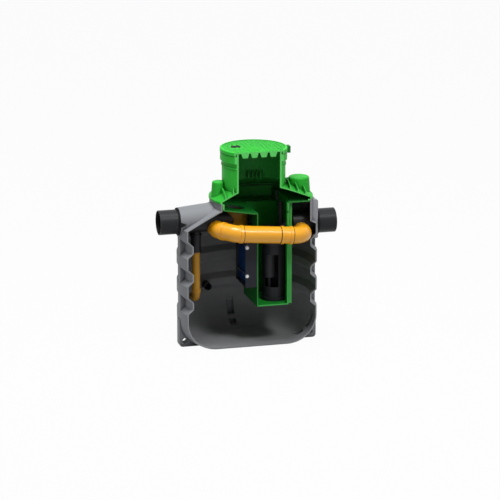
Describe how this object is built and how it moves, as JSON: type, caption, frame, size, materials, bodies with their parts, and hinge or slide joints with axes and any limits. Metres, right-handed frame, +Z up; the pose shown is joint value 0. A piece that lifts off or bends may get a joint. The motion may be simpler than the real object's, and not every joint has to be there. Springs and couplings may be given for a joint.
{
  "type": "cut-away oil separator",
  "caption": "Cut-away round plastic oil separator with grooved tank, pipe stubs, bypass pipe, coalescing filter, float riser and green access neck with lid.",
  "frame": {"origin": "on the tank's axis at its flat underside", "axes": "+X from inlet to outlet, +Y to the back, away from the cut, +Z up"},
  "size_m": [1.178, 0.735, 1.302],
  "materials": {
    "tank_grey": "moulded polyethylene",
    "insert_green": "moulded polyethylene",
    "latch_dark": "moulded plastic",
    "pipe_black": "extruded polyethylene",
    "pipe_yellow": "glossy pipe plastic",
    "seal_rubber": "moulded rubber",
    "filter_plate": "sheet plastic",
    "filter_foam": "open foam",
    "rod_steel": "zinc plated",
    "riser_grey": "moulded plastic"
  },
  "bodies": {
    "root": {"tank_base": "tank_grey", "tank_wall_right": "tank_grey", "tank_wall_back": "tank_grey", "tank_wall_left": "tank_grey", "tank_shoulder": "tank_grey", "tank_collar": "tank_grey", "inlet_hood": "tank_grey", "outlet_hood": "tank_grey", "right_post": "tank_grey", "back_post": "tank_grey", "left_post": "tank_grey", "skirt": "insert_green", "neck": "insert_green", "lid": "insert_green", "vent_stub": "insert_green", "cable_stub": "insert_green", "dish_floor": "insert_green", "dish_rim": "insert_green", "well_left_wall": "insert_green", "well_back_wall": "insert_green", "well_right_wall": "insert_green", "well_floor": "insert_green", "lid_latch": "latch_dark", "inlet_pipe": "pipe_black", "outlet_pipe": "pipe_black", "drop_sleeve": "pipe_black", "back_stub": "pipe_black", "bypass_run": "pipe_yellow", "bypass_outlet_elbow": "pipe_yellow", "bypass_front_elbow": "pipe_yellow", "bypass_back_elbow": "pipe_yellow", "inlet_tube": "pipe_yellow", "drop_pipe": "pipe_yellow", "drop_elbow": "pipe_yellow", "inlet_seal": "seal_rubber", "outlet_seal": "seal_rubber", "filter_frame": "filter_plate", "filter_foam": "filter_foam", "filter_rod_upper": "rod_steel", "filter_rod_lower": "rod_steel", "riser": "riser_grey", "riser_tee": "riser_grey", "riser_base": "riser_grey", "float": "riser_grey", "lifting_rod": "riser_grey"}
  },
  "joints": []
}
